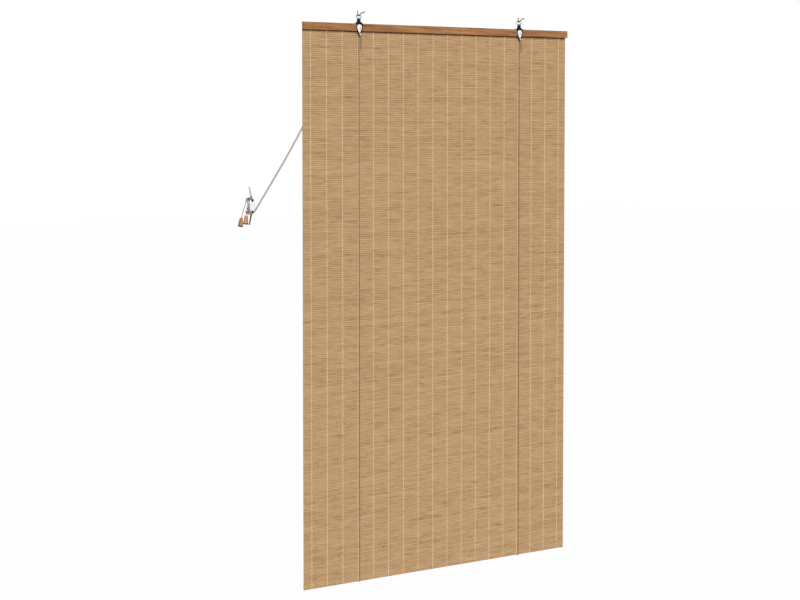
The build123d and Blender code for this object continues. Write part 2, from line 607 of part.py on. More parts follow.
def blind():
    """Every node of the blind by name."""
    nodes = {
        "headrail": headrail(),
        "headrail_staples": headrail_staples(),
        "bamboo_mat": bamboo_mat(),
        "warp_threads": warp_threads(),
        "bottom_batten": bottom_batten(),
        "left_front_sheave": sheave(-HANGER_X, FRONT_SHEAVE_Y),
        "left_rear_sheave": sheave(-HANGER_X, REAR_SHEAVE_Y),
        "right_sheave": sheave(HANGER_X, FRONT_SHEAVE_Y),
        "cord_cleat": cord_cleat(),
        "cleat_screws": cleat_screws(),
    }
    nodes.update(hanger("left", -HANGER_X, REAR_SHEAVE_Y))
    nodes.update(hanger("right", HANGER_X, FRONT_SHEAVE_Y))
    nodes.update(pull("left", pull_route(LEFT_WRAP), REAR_SHEAVE_Y))
    nodes.update(pull("right", pull_route(RIGHT_WRAP), FRONT_SHEAVE_Y))
    left_lead = at_depth(moved(LEFT_LEAD, -HANGER_X, AXLE_Z), REAR_SHEAVE_Y)
    left_radii = corner_radii([(left_lead[0][0], REAR_SHEAVE_Y, MAT_BOTTOM)] + left_lead)
    nodes["left_lift_cord"] = lift_cord("left_lift_cord", -HANGER_X, left_lead, left_radii)
    right_corner = (HANGER_X + CORD_PITCH_RADIUS, AXLE_Z + CORD_PITCH_RADIUS)
    cross_start = moved([CROSS_START], HANGER_X, AXLE_Z)
    right_lead = at_depth([right_corner] + cross_start, FRONT_SHEAVE_Y)
    nodes["right_lift_cord"] = lift_cord("right_lift_cord", HANGER_X, right_lead, [CORD_PITCH_RADIUS])
    cross = at_depth(cross_start + moved(CROSS_LEAD, -HANGER_X, AXLE_Z), FRONT_SHEAVE_Y)
    nodes["right_cross_cord"] = cord_along("right_cross_cord", cross, [CORD_PITCH_RADIUS])
    return nodes


os.makedirs("parts", exist_ok=True)
for name, shape in blind().items():
    export_step(shape, f"parts/{name}.step")
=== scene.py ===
import math
import random

import bpy
import numpy as np
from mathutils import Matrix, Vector


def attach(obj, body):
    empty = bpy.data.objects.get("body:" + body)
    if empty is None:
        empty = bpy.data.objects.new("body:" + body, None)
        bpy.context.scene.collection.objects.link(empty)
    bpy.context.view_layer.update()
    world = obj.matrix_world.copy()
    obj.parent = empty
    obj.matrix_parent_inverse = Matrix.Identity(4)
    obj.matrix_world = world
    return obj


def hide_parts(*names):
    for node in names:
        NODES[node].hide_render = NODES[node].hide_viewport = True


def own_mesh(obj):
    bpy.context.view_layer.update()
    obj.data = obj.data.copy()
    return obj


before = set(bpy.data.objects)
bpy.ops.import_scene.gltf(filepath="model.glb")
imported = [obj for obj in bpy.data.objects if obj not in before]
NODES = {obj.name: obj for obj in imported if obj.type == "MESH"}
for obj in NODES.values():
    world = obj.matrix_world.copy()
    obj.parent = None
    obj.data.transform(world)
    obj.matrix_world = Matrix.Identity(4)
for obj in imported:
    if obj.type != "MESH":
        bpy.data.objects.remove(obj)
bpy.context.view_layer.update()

rng = random.Random(11)

# Sizes in metres, as in the source of the part
HANGER_X = 0.304333
HANGERS = (("left", -HANGER_X), ("right", HANGER_X))
MAT_HALF = 0.498
MAT_TOP, MAT_BOTTOM = -0.024, -1.6224
MAT_FRONT, MAT_BACK = 0.004, 0.007
REED_PITCH, REED_COUNT = 0.0054, 296
THREAD_COUNT = 18
THREAD_PITCH = 2 * MAT_HALF / THREAD_COUNT
TAB_Z = -0.0535
CORD_RADIUS = 0.001
CORD_LOW = -1.6237
CORD_FRONT, CORD_BACK = 0.0022, 0.0123
FRONT_SHEAVE_Y, REAR_SHEAVE_Y = 0.0130, 0.0183

# Shader helpers, with plain tints, the range of noise that gloss follows and the middle of a share
BLACK_TINT = (0.0, 0.0, 0.0)
WHITE_TINT = (1.0, 1.0, 1.0)
GLOSS_FROM, GLOSS_TO = 0.3, 0.7
MIDDLE = 0.5


def add(tree, kind, props=None, **sockets):
    """A shader node with its properties set and its sockets given values or links."""
    node = tree.nodes.new(kind)
    for key, value in (props or {}).items():
        setattr(node, key, value)
    for key, value in sockets.items():
        numbered = key[0] == "i" and key[1:].isdigit()
        socket = node.inputs[int(key[1:]) if numbered else key]
        if isinstance(value, bpy.types.NodeSocket):
            tree.links.new(value, socket)
        else:
            socket.default_value = value
    return node


def math_node(tree, operation, first, second):
    """The output of a Math node."""
    return add(tree, "ShaderNodeMath", {"operation": operation}, i0=first, i1=second).outputs[0]


def weighed_sum(tree, *parts):
    """The sum of some values, each times its weight."""
    total = None
    for value, weight in parts:
        part = math_node(tree, "MULTIPLY", value, weight)
        total = part if total is None else math_node(tree, "ADD", total, part)
    return total


def blended(tree, blend, share, first, second):
    """The output of a Mix node that lays a second colour over a first one."""
    props = {"data_type": "RGBA", "blend_type": blend}
    return add(tree, "ShaderNodeMix", props, i0=share, i6=first, i7=second).outputs[2]


def ramp(tree, factor, stops):
    """The colour output of a Color Ramp."""
    node = add(tree, "ShaderNodeValToRGB", Fac=factor)
    band = node.color_ramp
    while len(band.elements) < len(stops):
        band.elements.new(MIDDLE)
    for element, (place, colour) in zip(band.elements, stops):
        element.position = place
        element.color = (*colour, 1)
    return node.outputs["Color"]


def srgb(*levels):
    """A linear colour from screen values of 0 to 255, by the usual screen curve."""
    shares = [level / 255 for level in levels]
    return tuple(s / 12.92 if s <= 0.04045 else ((s + 0.055) / 1.055) ** 2.4 for s in shares)


def grey(level):
    """A linear colour with no hue."""
    return (level, level, level)


def start(name):
    """A new material, its tree and its shader node."""
    made = bpy.data.materials.new(name)
    made.use_nodes = True
    return made, made.node_tree, made.node_tree.nodes["Principled BSDF"]


def set_sockets(bsdf, values):
    """Sets constants on the shader's own sockets."""
    for key, value in values.items():
        bsdf.inputs[key].default_value = value


def link_bump(tree, bsdf, height, distance, strength):
    """Bump from a height on the shader's normal."""
    bump = add(tree, "ShaderNodeBump", Height=height, Distance=distance, Strength=strength)
    tree.links.new(bump.outputs["Normal"], bsdf.inputs["Normal"])


def link_gloss(tree, bsdf, noise, low, high):
    """A roughness between two values, from noise."""
    gloss = add(tree, "ShaderNodeMapRange", Value=noise, i1=GLOSS_FROM, i2=GLOSS_TO, i3=low, i4=high)
    tree.links.new(gloss.outputs[0], bsdf.inputs["Roughness"])


def place_in(tree, kind):
    """A point in Object coordinates, in metres, or in Generated ones, as shares of the piece's box."""
    return add(tree, "ShaderNodeTexCoord").outputs[kind]


def axes_of(tree, vector):
    """The X, Y and Z outputs of a vector."""
    return add(tree, "ShaderNodeSeparateXYZ", Vector=vector).outputs


def stretched_noise(tree, place, scale, detail, rough=0.55):
    """Noise over a point scaled apart along each axis."""
    spot = add(tree, "ShaderNodeMapping", Vector=place, Scale=scale).outputs[0]
    noise = add(tree, "ShaderNodeTexNoise", Vector=spot, Scale=1.0, Detail=detail, Roughness=rough)
    return noise.outputs["Fac"]


def even_noise(tree, place, scale, detail):
    """Noise with the same scale along each axis."""
    return stretched_noise(tree, place, (scale, scale, scale), detail)


# Bamboo reeds: streaks have a count per metre, a step per reed and across one, a place and a detail
SHORT_STREAKS = (20.0, 7.31, 0.5, 3.0, 2.0)
LONG_STREAKS = (4.0, 3.77, 0.2, 9.0, 2.0)
GRAIN_STREAKS = (60.0, 11.9, 9.0, 21.0, 4.0)
LANE_START = 0.5
STREAK_ROUGHNESS = 0.6
REED_TONES = [
    (0.20, srgb(126, 92, 58)), (0.38, srgb(173, 139, 100)), (0.50, srgb(185, 151, 112)),
    (0.62, srgb(192, 159, 119)), (0.80, srgb(204, 174, 135)),
]
# Painted shade in the grooves between reeds: each reed darkens towards its upper and lower edges
GROOVE_SHADE_FROM, GROOVE_SHADE_TO, GROOVE_SHADE_DARK = 0.28, 0.5, 0.14

# Painted shade: the front of the mat is darkened just under the rail, over a count of reeds from the mat's
# top
SHADE_REEDS, SHADE_FROM, SHADE_TO = 10.0, 3.3, 3.85
PAINTED_SHADE_TINT = (0.34, 0.26, 0.22)


def reed_streaks(tree, x, reed, across, streaks):
    """Noise drawn out along the reeds, apart on each of them."""
    per_metre, reed_step, across_step, offset, detail = streaks
    props = {"operation": "MULTIPLY_ADD"}
    lane = add(tree, "ShaderNodeMath", props, i0=reed, i1=reed_step, i2=LANE_START).outputs[0]
    lane = math_node(tree, "ADD", lane, math_node(tree, "MULTIPLY", across, across_step))
    along = math_node(tree, "MULTIPLY", x, per_metre)
    spot = add(tree, "ShaderNodeCombineXYZ", X=along, Y=lane, Z=offset).outputs[0]
    return add(
        tree, "ShaderNodeTexNoise", Vector=spot, Scale=1.0, Detail=detail, Roughness=STREAK_ROUGHNESS,
    ).outputs["Fac"]


def reed_material():
    """Split bamboo: a tone for each reed, streaks along it, painted shade at its edges, dark rings at its
    nodes and painted shade on its front just under the rail.
    """
    made, tree, bsdf = start("bamboo_reed")
    place = axes_of(tree, place_in(tree, "Object"))
    facts = add(tree, "ShaderNodeAttribute", {"attribute_name": "reed"})
    reed, across, knot = axes_of(tree, facts.outputs["Vector"])
    tone = add(tree, "ShaderNodeTexWhiteNoise", {"noise_dimensions": "1D"}, W=reed).outputs["Value"]
    short, long, grain = (
        reed_streaks(tree, place["X"], reed, across, streaks)
        for streaks in (SHORT_STREAKS, LONG_STREAKS, GRAIN_STREAKS)
    )
    mix = weighed_sum(tree, (short, 0.62), (long, 0.10), (grain, 0.18), (tone, 0.10), (knot, -0.16))
    # Painted shade: darker towards each reed's edges, where the grooves between reeds lie
    off_middle = math_node(tree, "ABSOLUTE", math_node(tree, "SUBTRACT", across, MIDDLE), 0.0)
    edge = add(tree, "ShaderNodeMapRange", Value=off_middle, i1=GROOVE_SHADE_FROM, i2=GROOVE_SHADE_TO, i3=0.0, i4=GROOVE_SHADE_DARK)
    colour = ramp(tree, math_node(tree, "SUBTRACT", mix, edge.outputs[0]), REED_TONES)
    # Painted shade, on the front of the mat only, over the reeds just under the rail
    drop = math_node(tree, "DIVIDE", math_node(tree, "SUBTRACT", reed, across), SHADE_REEDS)
    painted_shade = ramp(tree, drop, [
        (SHADE_FROM / SHADE_REEDS, PAINTED_SHADE_TINT), (SHADE_TO / SHADE_REEDS, WHITE_TINT),
    ])
    on_front = math_node(tree, "LESS_THAN", place["Y"], (MAT_FRONT + MAT_BACK) / 2)
    colour = blended(tree, "MULTIPLY", on_front, colour, painted_shade)
    tree.links.new(colour, bsdf.inputs["Base Color"])
    set_sockets(bsdf, {"Roughness": 0.6, "Specular IOR Level": 0.15})
    link_bump(tree, bsdf, grain, distance=0.0004, strength=0.5)
    return made


# Wood: each grain has a count per metre along it and across it, a detail and a roughness
BROAD_GRAIN = (9.0, 160.0, 3.0, 0.55)
FINE_GRAIN = (45.0, 1500.0, 4.0, 0.65)
PORE_GRAIN = (90.0, 2600.0, 2.0, 0.5)
WOOD_STOPS = (0.34, 0.50, 0.66)
PORE_FROM, PORE_TO, PORE_SHARE = 0.30, 0.44, 0.75
PORE_TINT = (0.45, 0.42, 0.40)
DARK_BOTTOM_FULL_SHARE = 0.6


def wood_grain(tree, place, axis, grain):
    """Noise drawn out along one axis."""
    along, across, detail, rough = grain
    scale = tuple(along if letter == axis else across for letter in "XYZ")
    return stretched_noise(tree, place, scale, detail, rough)


def wood_material(name, tones, axis, roughness, low_edge=None):
    """Wood with its grain along one axis. A low edge is a share of the height and the dark tint that the
    wood takes towards its bottom.
    """
    made, tree, bsdf = start(name)
    place = place_in(tree, "Object")
    broad, fine, pores = (
        wood_grain(tree, place, axis, grain) for grain in (BROAD_GRAIN, FINE_GRAIN, PORE_GRAIN)
    )
    mix = weighed_sum(tree, (broad, 0.62), (fine, 0.38))
    colour = ramp(tree, mix, list(zip(WOOD_STOPS, tones)))
    pore = ramp(tree, pores, [(PORE_FROM, PORE_TINT), (PORE_TO, WHITE_TINT)])
    colour = blended(tree, "MULTIPLY", PORE_SHARE, colour, pore)
    # Darker towards the bottom of the piece
    if low_edge:
        share, bottom_tint = low_edge
        height = axes_of(tree, place_in(tree, "Generated"))["Z"]
        tint = ramp(tree, height, [(share * DARK_BOTTOM_FULL_SHARE, bottom_tint), (share, WHITE_TINT)])
        colour = blended(tree, "MULTIPLY", 1.0, colour, tint)
    tree.links.new(colour, bsdf.inputs["Base Color"])
    set_sockets(bsdf, {"Roughness": roughness, "Specular IOR Level": 0.2})
    link_bump(tree, bsdf, fine, distance=0.0003, strength=0.6)
    return made


# Metal: wear marks are scaled apart along each axis
MARK_SCALES = (9, 9, 2)
MARK_FROM, MARK_TO = 0.38, 0.56
WORN_SHARE = 0.86

# Painted shade and dark reflection on the cleat: its tones darken outward over an oval, given by its half
# axes as shares of the piece's box
CLEAT_OVAL = (0.5, 0.2027)
CLEAT_PAINTED_SHADE_TONES = [(0.38, WHITE_TINT), (0.45, grey(0.35)), (0.55, grey(0.18))]
OVAL_EDGE_PLACE = 0.5
# Painted light: the upper part of the cleat is kept lighter
PAINTED_TOP_LIGHT_TONES = [(0.70, BLACK_TINT), (0.78, grey(0.55))]


def painted_oval_shade(tree, oval, stops):
    """Painted shade that darkens outward over an oval in the middle of a piece, with painted light keeping
    its upper part lighter.
    """
    width, height = oval
    span = place_in(tree, "Generated")
    spot = add(
        tree, "ShaderNodeMapping", Vector=span, Location=(-MIDDLE / width, 0, -MIDDLE / height),
        Scale=(1 / width, 0, 1 / height),
    ).outputs[0]
    away = add(tree, "ShaderNodeVectorMath", {"operation": "LENGTH"}, i0=spot).outputs["Value"]
    tint = ramp(tree, math_node(tree, "MULTIPLY", away, OVAL_EDGE_PLACE), stops)
    painted_top_light = ramp(tree, axes_of(tree, span)["Z"], PAINTED_TOP_LIGHT_TONES)
    return blended(tree, "LIGHTEN", 1.0, tint, painted_top_light)


def metal_material(name, colour, gloss, scale, oval=None, tones=None):
    """Plated metal whose gloss varies a little, with fine wear marks, and painted shade and light over an
    oval if given.
    """
    made, tree, bsdf = start(name)
    place = place_in(tree, "Object")
    cloud = even_noise(tree, place, scale, detail=4.0)
    marks = stretched_noise(tree, place, tuple(scale * mark for mark in MARK_SCALES), detail=3.0)
    link_gloss(tree, bsdf, cloud, *gloss)
    worn = tuple(c * WORN_SHARE for c in colour)
    final = ramp(tree, marks, [(MARK_FROM, worn), (MARK_TO, colour)])
    # Painted shade and painted light over an oval, where tones are given
    if oval:
        final = blended(tree, "MULTIPLY", 1.0, final, painted_oval_shade(tree, oval, tones))
    tree.links.new(final, bsdf.inputs["Base Color"])
    set_sockets(bsdf, {"Metallic": 1.0})
    link_bump(tree, bsdf, marks, distance=0.00006, strength=0.3)
    return made


# Other materials
PEEL_SCALE, RUBBED_SCALE = 700.0, 240.0
RUBBED_TONES = [(0.45, (0.005, 0.005, 0.006)), (0.72, (0.024, 0.023, 0.023))]
BLACK_GLOSS = (0.28, 0.42)
FIBRE_STRETCH, FIBRE_FROM, FIBRE_TO = 0.5, 0.36, 0.62
CORD_FIBRE, THREAD_FIBRE, SLUB_SCALE = 3200.0, 2600.0, 40.0
NYLON_SCALE = 220.0
NYLON_TONES = [(0.35, (0.66, 0.62, 0.53)), (0.65, (0.80, 0.78, 0.71))]


def black_material():
    """Black lacquered steel with a faint orange peel and rubbed spots."""
    made, tree, bsdf = start("black_steel")
    place = place_in(tree, "Object")
    peel = even_noise(tree, place, PEEL_SCALE, detail=3.0)
    rubbed = even_noise(tree, place, RUBBED_SCALE, detail=4.0)
    tree.links.new(ramp(tree, rubbed, RUBBED_TONES), bsdf.inputs["Base Color"])
    link_gloss(tree, bsdf, rubbed, *BLACK_GLOSS)
    set_sockets(bsdf, {"Specular IOR Level": 0.08})
    link_bump(tree, bsdf, peel, distance=0.00008, strength=0.3)
    return made


def fibre_material(name, dark, light, scale):
    """Cotton: fine fibres in two tones with a soft sheen."""
    made, tree, bsdf = start(name)
    place = place_in(tree, "Object")
    scales = (scale, scale, scale * FIBRE_STRETCH)
    fibres = stretched_noise(tree, place, scales, detail=4.0, rough=0.7)
    slubs = even_noise(tree, place, SLUB_SCALE, detail=2.0)
    mix = weighed_sum(tree, (fibres, 0.65), (slubs, 0.35))
    colour = ramp(tree, mix, [(FIBRE_FROM, dark), (FIBRE_TO, light)])
    tree.links.new(colour, bsdf.inputs["Base Color"])
    set_sockets(bsdf, {
        "Roughness": 0.9, "Specular IOR Level": 0.15, "Sheen Weight": 0.2, "Sheen Roughness": 0.5,
    })
    link_bump(tree, bsdf, fibres, distance=0.0002, strength=0.6)
    return made


def wheel_material():
    """Moulded nylon, cloudy and slightly translucent."""
    made, tree, bsdf = start("wheel_plastic")
    cloud = even_noise(tree, place_in(tree, "Object"), NYLON_SCALE, detail=3.0)
    tree.links.new(ramp(tree, cloud, NYLON_TONES), bsdf.inputs["Base Color"])
    set_sockets(bsdf, {
        "Roughness": 0.4, "Subsurface Weight": 0.15, "Subsurface Radius": (0.002, 0.0018, 0.0014),
    })
    link_bump(tree, bsdf, cloud, distance=0.0001, strength=0.2)
    return made


REED = reed_material()
RAIL_TONES = (srgb(112, 70, 36), srgb(160, 112, 70), srgb(186, 136, 92))
RAIL = wood_material("rail_wood", RAIL_TONES, "X", roughness=0.5)
BATTEN_TONES = (srgb(150, 116, 78), srgb(190, 156, 116), srgb(212, 182, 144))
BATTEN = wood_material("batten_bamboo", BATTEN_TONES, "X", roughness=0.5)
# The tassels are darker towards the bottom
TASSEL_DARK_BOTTOM = (0.22, (0.10, 0.08, 0.07))
TASSEL_ROUGHNESS = 0.38
DARK_TONES = (srgb(118, 80, 46), srgb(166, 122, 80), srgb(190, 148, 104))
LEFT_TASSEL = wood_material("dark_tassel", DARK_TONES, "Z", TASSEL_ROUGHNESS, TASSEL_DARK_BOTTOM)
LIGHT_TONES = (srgb(152, 104, 72), srgb(204, 154, 120), srgb(222, 178, 146))
RIGHT_TASSEL = wood_material("light_tassel", LIGHT_TONES, "Z", TASSEL_ROUGHNESS, TASSEL_DARK_BOTTOM)
HOOK = metal_material("hook_zinc", (0.15, 0.15, 0.16), gloss=(0.26, 0.40), scale=200.0)
EYE = metal_material("eye_steel", grey(0.34), gloss=(0.16, 0.28), scale=200.0)
NICKEL = metal_material("nickel", (0.60, 0.59, 0.57), gloss=(0.10, 0.22), scale=150.0)
COVER = metal_material("cover_plate", (0.94, 0.93, 0.91), gloss=(0.14, 0.26), scale=150.0)
CHROME = metal_material(
    "cleat_chrome", grey(0.94), gloss=(0.08, 0.18), scale=120.0, oval=CLEAT_OVAL, tones=CLEAT_PAINTED_SHADE_TONES)
STEEL = metal_material("zinc_steel", (0.52, 0.52, 0.53), gloss=(0.28, 0.45), scale=260.0)
DARK_SCREW = metal_material("dark_screw", grey(0.03), gloss=(0.25, 0.40), scale=260.0)
BLACK = black_material()
WHEEL = wheel_material()
CORD = fibre_material("pull_cotton", srgb(92, 76, 34), srgb(132, 112, 58), CORD_FIBRE)
LIFT = fibre_material("lift_cotton", srgb(112, 78, 42), srgb(150, 110, 70), CORD_FIBRE)
KNOT = fibre_material("knot_cotton", srgb(206, 174, 134), srgb(240, 214, 178), CORD_FIBRE)
THREAD = fibre_material("warp_cotton", srgb(214, 182, 140), srgb(238, 210, 172), THREAD_FIBRE)

# Mesh helpers, with a direction that no line here starts along
ODD_DIRECTION = (0.31, 0.85, 0.42)


def make_piece(name, verts, faces, surface):
    """An object from lists of points and faces. Faces with four corners are smooth, the others flat."""
    mesh = bpy.data.meshes.new(name)
    mesh.from_pydata([tuple(v) for v in verts], [], faces)
    mesh.materials.append(surface)
    mesh.polygons.foreach_set("use_smooth", [len(face) == 4 for face in faces])
    mesh.update()
    made = bpy.data.objects.new(name, mesh)
    bpy.context.scene.collection.objects.link(made)
    return made


def settle(piece, body, slot, *replaced):
    """Puts a piece on its body and hides the nodes that it stands for. Its slot is not used."""
    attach(piece, body)
    if replaced:
        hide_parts(*replaced)
    return piece


def spline_points(points, resolution):
    """Points read from a smooth spline with the route's points as its control points."""
    curve = bpy.data.curves.new("route", "CURVE")
    curve.dimensions = "3D"
    curve.resolution_u = resolution
    spline = curve.splines.new("NURBS")
    spline.points.add(len(points) - 1)
    for point, place in zip(spline.points, points):
        point.co = (*place, 1)
    spline.order_u = 3
    spline.use_endpoint_u = True
    holder = bpy.data.objects.new("route", curve)
    line = bpy.data.meshes.new_from_object(holder)
    places = [np.array(vertex.co) for vertex in line.vertices]
    bpy.data.objects.remove(holder)
    bpy.data.curves.remove(curve)
    bpy.data.meshes.remove(line)
    return places


def travelled(points):
    """The distance run at each point of a line."""
    steps = [np.linalg.norm(b - a) for a, b in zip(points, points[1:])]
    return np.concatenate([[0.0], np.cumsum(steps)])


def frames_along(points):
    """A side and an upward direction at each point, turned as little as possible."""
    tangents = []
    for index in range(len(points)):
        ahead = points[min(index + 1, len(points) - 1)] - points[max(index - 1, 0)]
        tangents.append(ahead / np.linalg.norm(ahead))
    side = np.cross(tangents[0], ODD_DIRECTION)
    sides, ups = [], []
    for tangent in tangents:
        side = side - tangent * np.dot(side, tangent)
        side = side / np.linalg.norm(side)
        sides.append(side)
        ups.append(np.cross(tangent, side))
    return sides, ups


def even_line(points, step):
    """The same line with points a set distance apart."""
    run = travelled(points)
    table = np.array(points)
    count = max(2, int(round(run[-1] / step)) + 1)
    places = np.linspace(0, run[-1], count)
    return [np.array([np.interp(s, run, table[:, axis]) for axis in range(3)]) for s in places]


def around(angle, across, up):
    """The direction at an angle between two others."""
    return math.cos(angle) * across + math.sin(angle) * up


def skin(base, rings, sides, faces, turned=False):
    """Adds the faces over rings of points and their end caps, turned for rings that go the other way."""
    for ring in range(rings - 1):
        low, high = base + ring * sides, base + (ring + 1) * sides
        for k in range(sides):
            after = (k + 1) % sides
            if turned:
                faces.append((low + k, high + k, high + after, low + after))
            else:
                faces.append((low + k, low + after, high + after, high + k))
    near = tuple(range(base, base + sides))
    far = tuple(range(base + (rings - 1) * sides, base + rings * sides))
    faces += [near, far[::-1]] if turned else [near[::-1], far]


def tube(points, radius, sides, verts, faces):
    """Adds a round tube along a line to a piece's points and faces."""
    base = len(verts)
    angles = [2 * math.pi * k / sides for k in range(sides)]
    for place, across, up in zip(points, *frames_along(points)):
        verts += [place + radius * around(angle, across, up) for angle in angles]
    skin(base, len(points), sides, faces)


# Cords
STRANDS = 3
STRAND_SHARE = 0.52
STRAND_SIDES = 6
LAY_LENGTH, TIGHT_LAY = 0.0072, 0.0048
ROPE_STEP, LIFT_STEP = 0.0008, 0.0014
ROUTE_STEPS, LIFT_ROUTE_STEPS = 24, 32
KNOT_LOBE, KNOT_LIFT = 0.00062, 0.00085
KNOT_STEPS, KNOT_SIDES = 72, 8
KNOT_THICK_SHARE = 0.95
KNOT_FACING = (0.3, 0.2, 0.93)


def rope(line, start_run=0.0, lay=LAY_LENGTH):
    """The points and faces of a twisted cord along a line."""
    verts, faces = [], []
    across, up = frames_along(line)
    run = travelled(line) + start_run
    strand = CORD_RADIUS * STRAND_SHARE
    for k in range(STRANDS):
        turned = []
        for place, a, b, s in zip(line, across, up, run):
            angle = 2 * math.pi * (s / lay + k / STRANDS)
            turned.append(place + (CORD_RADIUS - strand) * around(angle, a, b))
        tube(turned, strand, STRAND_SIDES, verts, faces)
    return verts, faces


def tied_knot(name, centre, axis, node, size=1.0):
    """An overhand knot, flat across an axis, in place of a node."""
    axis = np.array(axis) / np.linalg.norm(axis)
    across = np.cross(axis, KNOT_FACING)
    across = across / np.linalg.norm(across)
    up = np.cross(axis, across)
    line = []
    for step in range(KNOT_STEPS + 1):
        turn = 2 * math.pi * step / KNOT_STEPS
        a = KNOT_LOBE * (math.sin(turn) + 2 * math.sin(2 * turn))
        b = KNOT_LOBE * (math.cos(turn) - 2 * math.cos(2 * turn))
        lift = KNOT_LIFT * math.sin(3 * turn)
        line.append(np.array(centre) + size * (a * across + b * up - lift * axis))
    verts, faces = [], []
    tube(line, KNOT_THICK_SHARE * size * CORD_RADIUS, KNOT_SIDES, verts, faces)
    return settle(make_piece(name, verts, faces, KNOT), "blind", "cord", node)


# Camera
SENSOR, LENS, SHIFT_UP = 36.0, 96.02, -0.06
CAMERA_PLACE = (-4.00508, -4.82052, -0.30819)
YAW, PITCH = 0.67401, -0.05976
FAR_CLIP = 100.0
camera_data = bpy.data.cameras.new("camera")
camera_data.sensor_fit = "HORIZONTAL"
camera_data.sensor_width = SENSOR
camera_data.lens = LENS
camera_data.shift_y = SHIFT_UP
camera_data.clip_end = FAR_CLIP
camera = bpy.data.objects.new("camera", camera_data)
camera.location = CAMERA_PLACE
looking = Vector((
    math.sin(YAW) * math.cos(PITCH), math.cos(YAW) * math.cos(PITCH), math.sin(PITCH),
))
camera.rotation_mode = "QUATERNION"
camera.rotation_quaternion = looking.to_track_quat("-Z", "Y")
bpy.context.scene.collection.objects.link(camera)
bpy.context.scene.camera = camera

# Pull cords: the routes of the source in millimetres, with points added beside the cleat's sharper turns
MM_PER_METRE = 1000
PULL_START = [
    (-314.489, -34.252), (-484.245, -315.126), (-646.93, -538.3), (-654.0, -548.0), (-667.5, -557.0),
    (-681.3, -551.0), (-674.74, -537.47),
]
LEFT_PULL = PULL_START + [
    (-667.72, -523.0), (-664.22, -515.77), (-668.98, -509.3), (-676.93, -510.44), (-679.85, -517.92),
    (-695.8, -558.8), (-698.8, -579.8),
]
RIGHT_PULL = PULL_START + [
    (-667.91, -523.37), (-664.05, -515.41), (-669.88, -508.76), (-678.28, -511.51), (-679.26, -520.3),
    (-685.2, -573.6),
]
KNOT_DEEP = 0.0018


def pull_cord(side, route, y):
    """A pull cord as twisted strands, with the knot at its tassel."""
    points = [(x / MM_PER_METRE, y, z / MM_PER_METRE) for x, z in route]
    line = even_line(spline_points(points, ROUTE_STEPS), ROPE_STEP)
    piece = make_piece(f"{side}_pull_rope", *rope(line, lay=TIGHT_LAY), CORD)
    settle(piece, "blind", "cord", f"{side}_pull_cord")
    down = np.array(points[-1]) - np.array(points[-2])
    knot_centre = np.array(points[-1]) + KNOT_DEEP * down / np.linalg.norm(down)
    knot = tied_knot(f"{side}_end_knot", knot_centre, down, f"{side}_tassel_knot")


pull_cord("left", LEFT_PULL, REAR_SHEAVE_Y)
pull_cord("right", RIGHT_PULL, FRONT_SHEAVE_Y)

# Lift cords: from the knot through the tab, down the front, under the mat's edge and up the back
KNOT_END_Y, TAB_BACK_Y = -0.0054, -0.0016
EDGE_STAND = 0.012
LEFT_LOW_SHIFT, RIGHT_LOW_SHIFT = 0.0035, 0.0055

# Their leads over the sheaves, and the right cord's run across to the left sheave
OVER_Z = -0.0252
CROSS_X = 0.292003
LEAVE_X, LEAVE_Z = -0.314489, -0.034252
LEFT_LEAD = [
    (-0.296033, REAR_SHEAVE_Y, -0.027196), (-0.308178, REAR_SHEAVE_Y, -0.023811),
    (LEAVE_X, REAR_SHEAVE_Y, LEAVE_Z),
]
RIGHT_LEAD = [(0.312633, FRONT_SHEAVE_Y, OVER_Z), (CROSS_X, FRONT_SHEAVE_Y, OVER_Z)]
CROSS_ROUTE = [
    (CROSS_X, FRONT_SHEAVE_Y, OVER_Z), (-0.297018, FRONT_SHEAVE_Y, OVER_Z),
    (-0.309018, FRONT_SHEAVE_Y, OVER_Z), (LEAVE_X, FRONT_SHEAVE_Y, LEAVE_Z),
]


def lift_cord(side, x, low_shift, lead):
    """A lift cord in two pieces: the run that shortens as the blind rises, and the lead over the sheave."""
    low_x = x + low_shift
    lead_x, lead_y = lead[0][:2]
    points = [
        (x, KNOT_END_Y, TAB_Z), (x, TAB_BACK_Y, TAB_Z), (x, TAB_BACK_Y, TAB_Z - EDGE_STAND),
        (low_x, CORD_FRONT, CORD_LOW + EDGE_STAND), (low_x, CORD_FRONT, CORD_LOW),
        (low_x, CORD_BACK, CORD_LOW), (low_x, CORD_BACK, CORD_LOW + EDGE_STAND), (lead_x, lead_y, TAB_Z),
    ] + lead
    line = even_line(spline_points(points, LIFT_ROUTE_STEPS), LIFT_STEP)
    lowest = int(np.argmin([p[2] for p in line]))
    split = next(i for i in range(lowest, len(line)) if line[i][2] > TAB_Z)
    moving = make_piece(f"{side}_lift_rope", *rope(line[:split + 1]), LIFT)
    settle(moving, "blind", "cord", f"{side}_lift_cord")
    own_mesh(moving)
    lead_rope = rope(line[split:], travelled(line)[split])
    settle(make_piece(f"{side}_lead_rope", *lead_rope, LIFT), "blind", "cord")


lift_cord("left", -HANGER_X, LEFT_LOW_SHIFT, LEFT_LEAD)
lift_cord("right", HANGER_X, RIGHT_LOW_SHIFT, RIGHT_LEAD)
cross_rope = rope(even_line(spline_points(CROSS_ROUTE, ROUTE_STEPS), LIFT_STEP))
settle(make_piece("right_cross_rope", *cross_rope, LIFT), "blind", "cord", "right_cross_cord")

